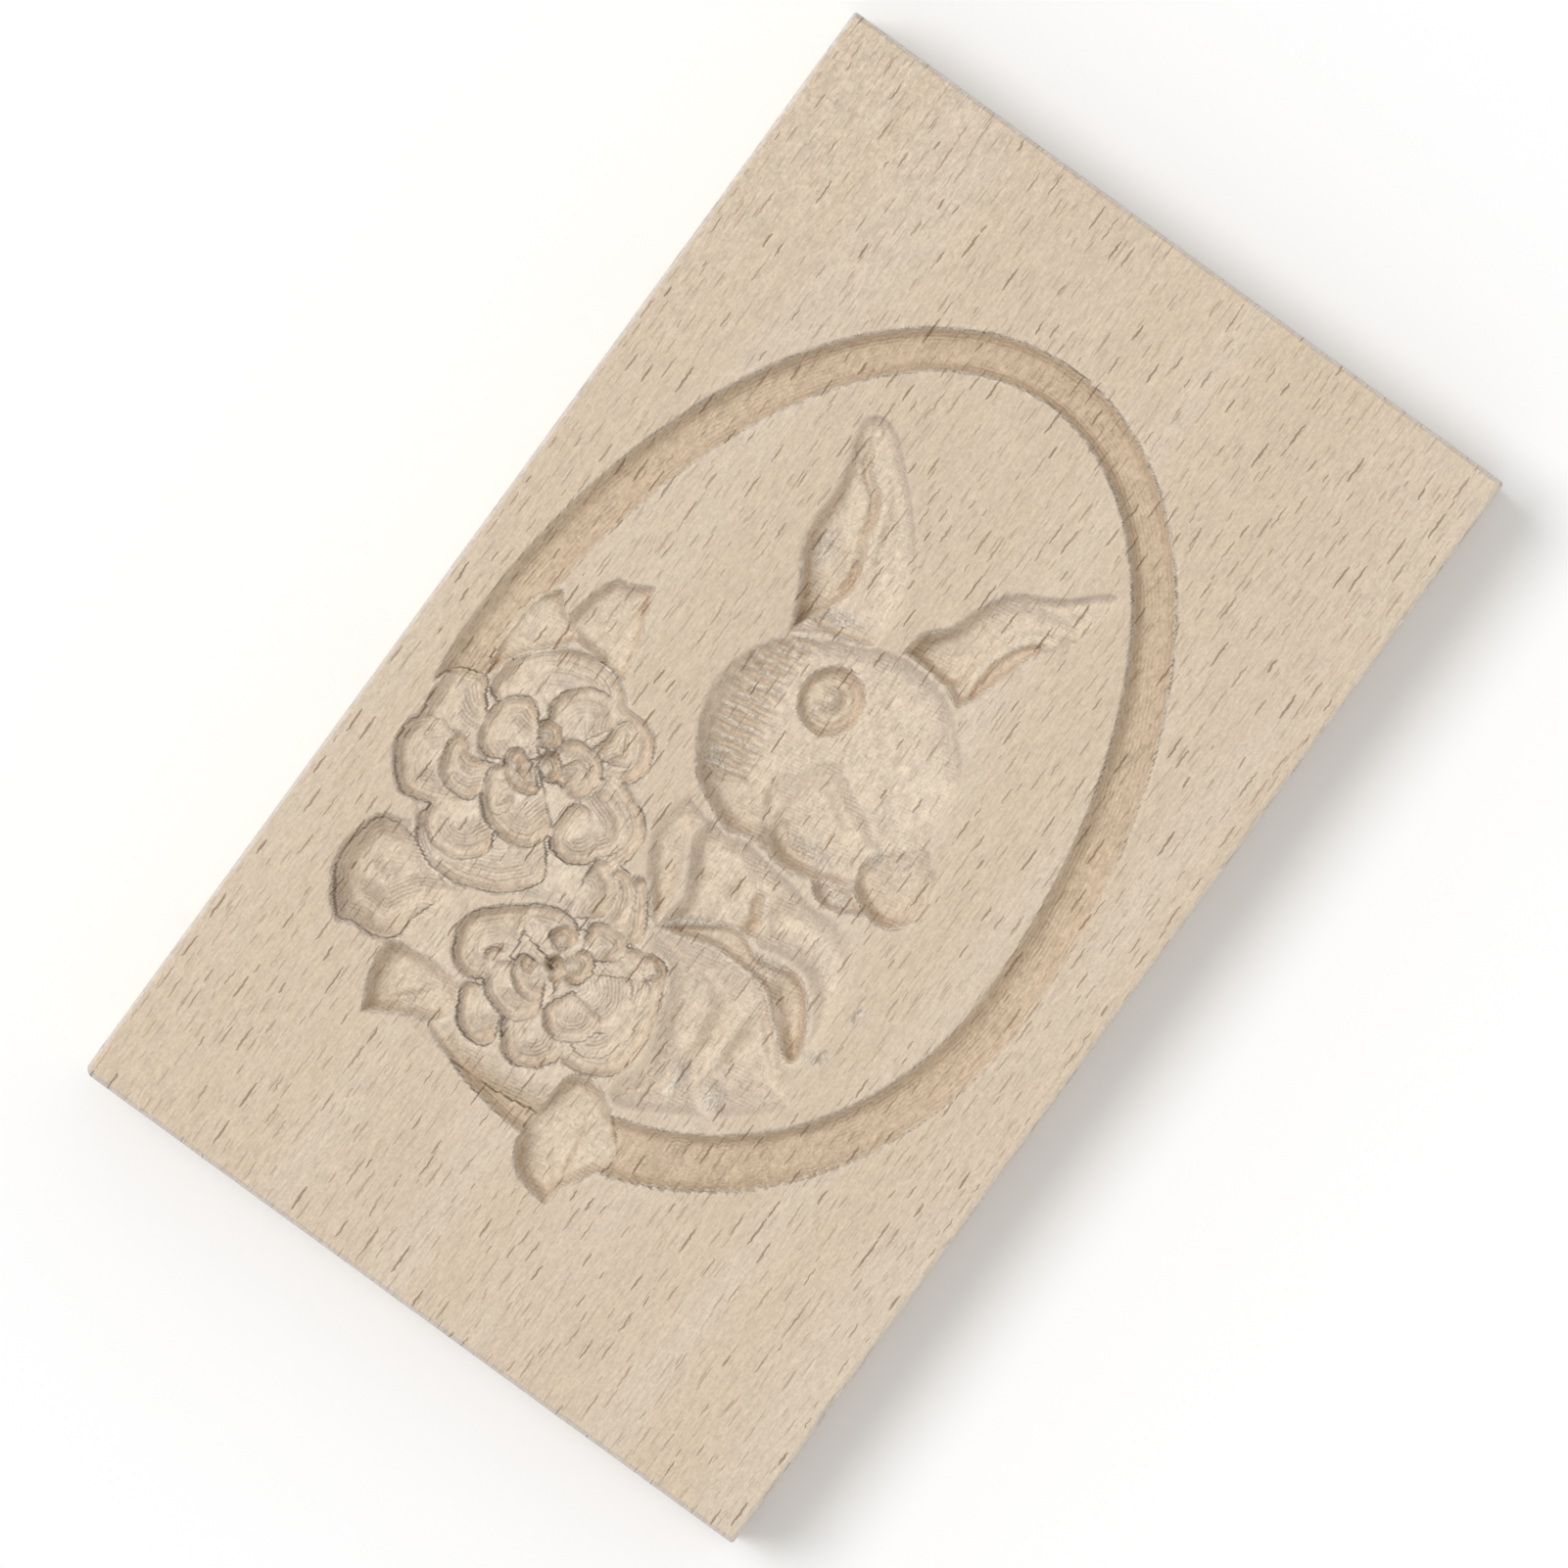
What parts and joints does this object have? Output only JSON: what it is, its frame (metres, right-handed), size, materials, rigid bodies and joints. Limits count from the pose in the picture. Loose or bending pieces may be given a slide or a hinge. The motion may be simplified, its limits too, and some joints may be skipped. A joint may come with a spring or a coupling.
{
  "type": "wooden cookie mould",
  "caption": "Flat beech board with a rabbit, blossoms and an egg-shaped border cut into one face, pressed onto dough to print it.",
  "frame": {"origin": "middle of the board's back, which is the face it rests on", "axes": "+X across the board's width, +Y along its length towards the rabbit's ears, +Z out of the carved face"},
  "size_m": [0.09, 0.147, 0.015],
  "materials": {
    "beech": "sanded, unfinished"
  },
  "bodies": {
    "root": {"carved_board": "beech"}
  },
  "joints": []
}
